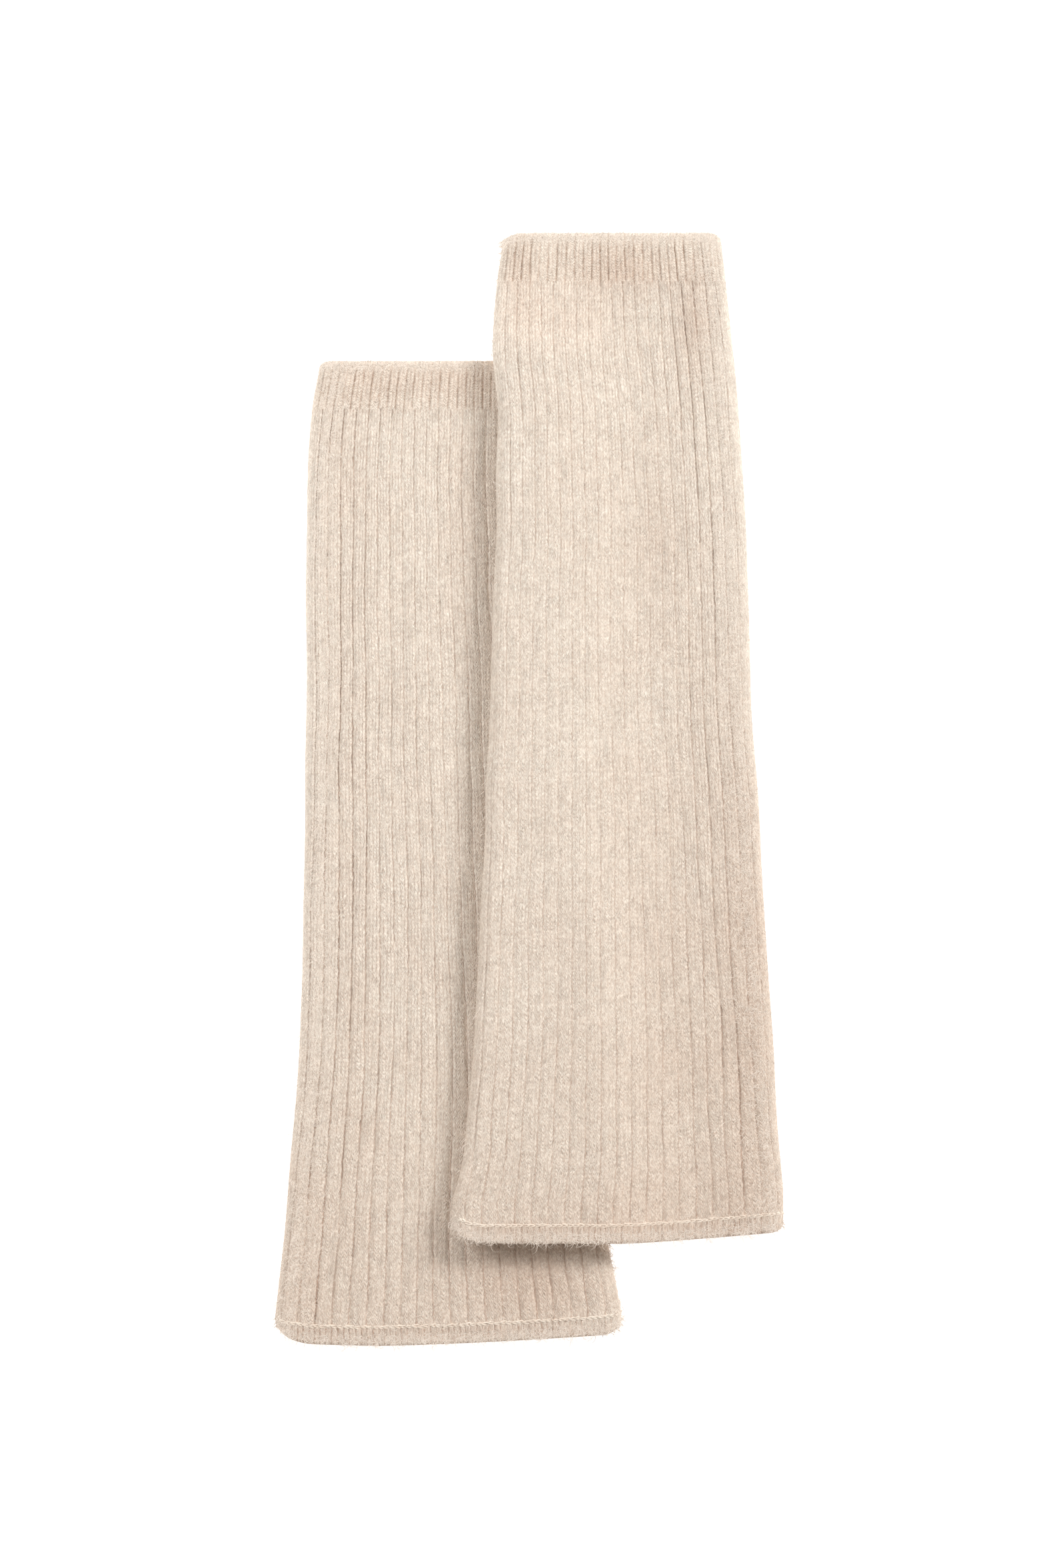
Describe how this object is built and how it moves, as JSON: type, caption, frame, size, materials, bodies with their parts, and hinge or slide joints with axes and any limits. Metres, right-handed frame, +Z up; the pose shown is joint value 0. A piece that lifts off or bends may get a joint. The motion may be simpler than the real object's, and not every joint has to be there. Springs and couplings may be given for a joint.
{
  "type": "fingerless gloves",
  "caption": "Pair of long ribbed wool fingerless gloves, open tubes with a fine rib wrist cuff and a linked elbow hem, lying flat with the right glove partly over the left.",
  "frame": {"origin": "on the surface the pair lies on, at the middle of the pair's outline", "axes": "+Z up out of the surface; +Y along the gloves from elbow hem to wrist cuff; +X from the left glove to the right one that lies on it"},
  "size_m": [0.191, 0.4198, 0.0213],
  "materials": {
    "rib_wool": "soft brushed cream wool, ribbed knit, matt with a fine halo of fibres",
    "trim_wool": "cream wool, fine close trim knit, matt",
    "linking_yarn": "cream wool yarn, chain stitched, matt"
  },
  "bodies": {
    "left_glove": {"left_wrist_cuff": "rib_wool", "left_body_panel": "rib_wool", "left_hem_chain": "linking_yarn", "left_elbow_hem": "trim_wool", "left_side_seam": "linking_yarn"},
    "right_glove": {"right_wrist_cuff": "rib_wool", "right_body_panel": "rib_wool", "right_hem_chain": "linking_yarn", "right_elbow_hem": "trim_wool", "right_side_seam": "linking_yarn"}
  },
  "joints": [
    {"name": "right_glove_lift", "type": "slide", "parent": "left_glove", "child": "right_glove", "axis": [0, 0, 1], "range_m": [0, 0.12]}
  ]
}
